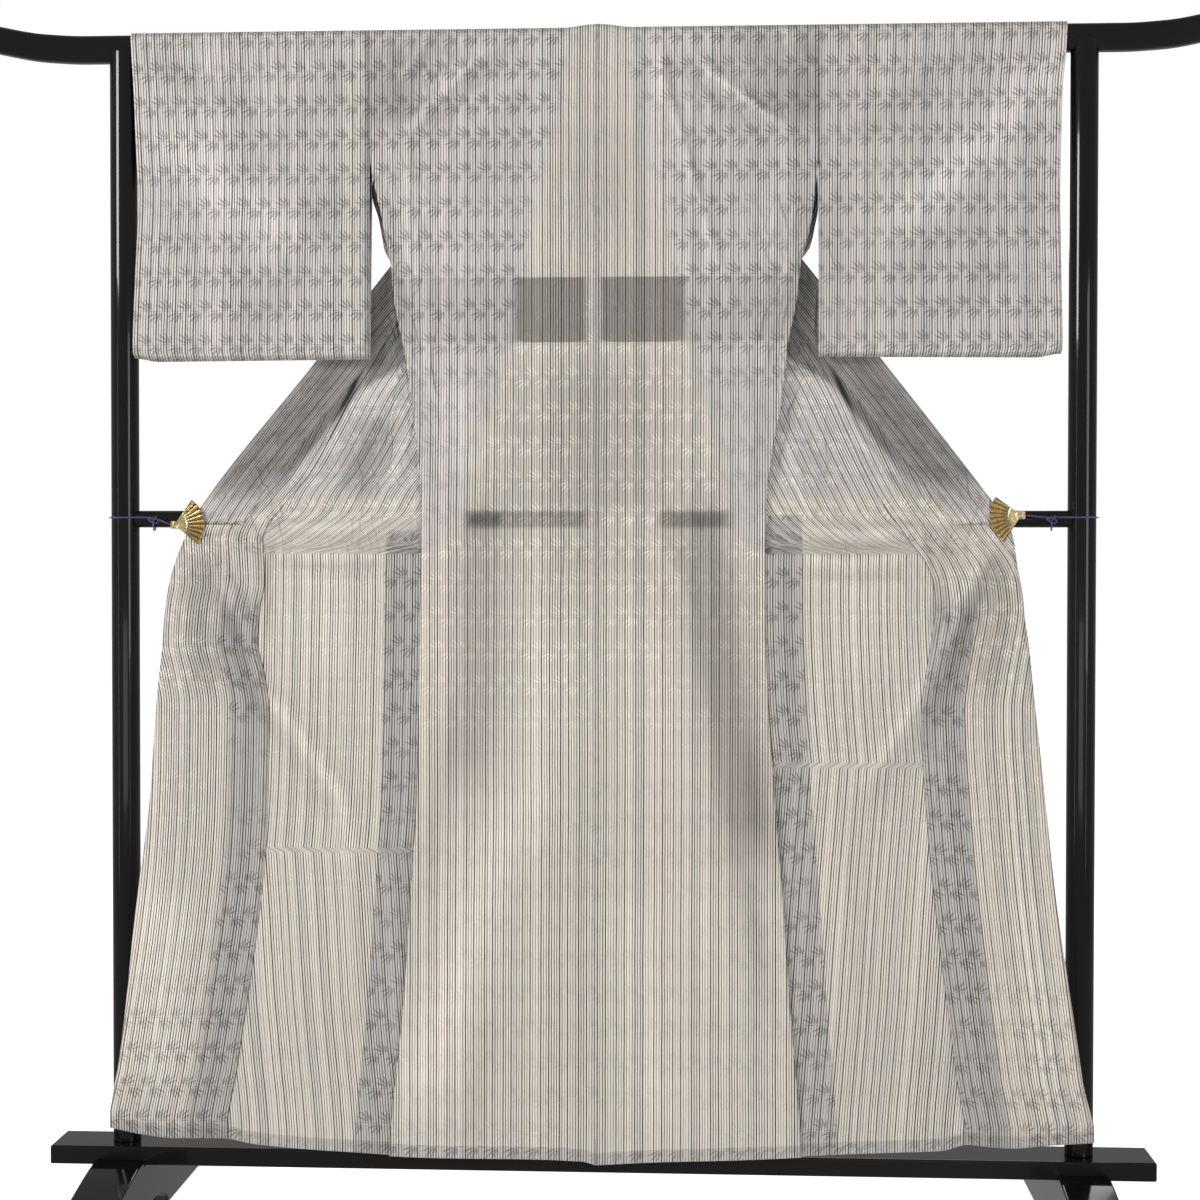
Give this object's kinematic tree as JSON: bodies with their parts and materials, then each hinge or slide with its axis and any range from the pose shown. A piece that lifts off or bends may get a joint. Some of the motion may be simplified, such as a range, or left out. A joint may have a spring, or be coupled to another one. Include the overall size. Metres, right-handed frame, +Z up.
{
  "type": "silk kimono on a kimono stand",
  "caption": "Unlined silk kimono hung by its shoulders on a black lacquered kimono stand, its fronts drawn out sideways by a gilt fan clip and cord at each post.",
  "frame": {"origin": "on the floor, in the middle of the stand's overall box", "axes": "+Z up, +X to the right for someone who looks at the back of the kimono, +Y from the back of the kimono towards its fronts"},
  "size_m": [1.91, 0.584, 1.803],
  "materials": {
    "silk": "soft sheen, sheer",
    "lacquer": "black lacquer, polished",
    "gilt": "satin gilt",
    "cord": "twisted"
  },
  "bodies": {
    "root": {"body_left": "silk", "body_right": "silk", "okumi_left": "silk", "okumi_right": "silk", "sleeve_left": "silk", "sleeve_right": "silk", "collar": "silk", "top_rail": "lacquer", "middle_rail": "lacquer", "base_beam": "lacquer", "post_left": "lacquer", "post_right": "lacquer", "foot_left": "lacquer", "foot_right": "lacquer", "fan_left": "gilt", "fan_right": "gilt", "jaw_left": "gilt", "jaw_right": "gilt", "cord_left": "cord", "cord_right": "cord"}
  },
  "joints": []
}
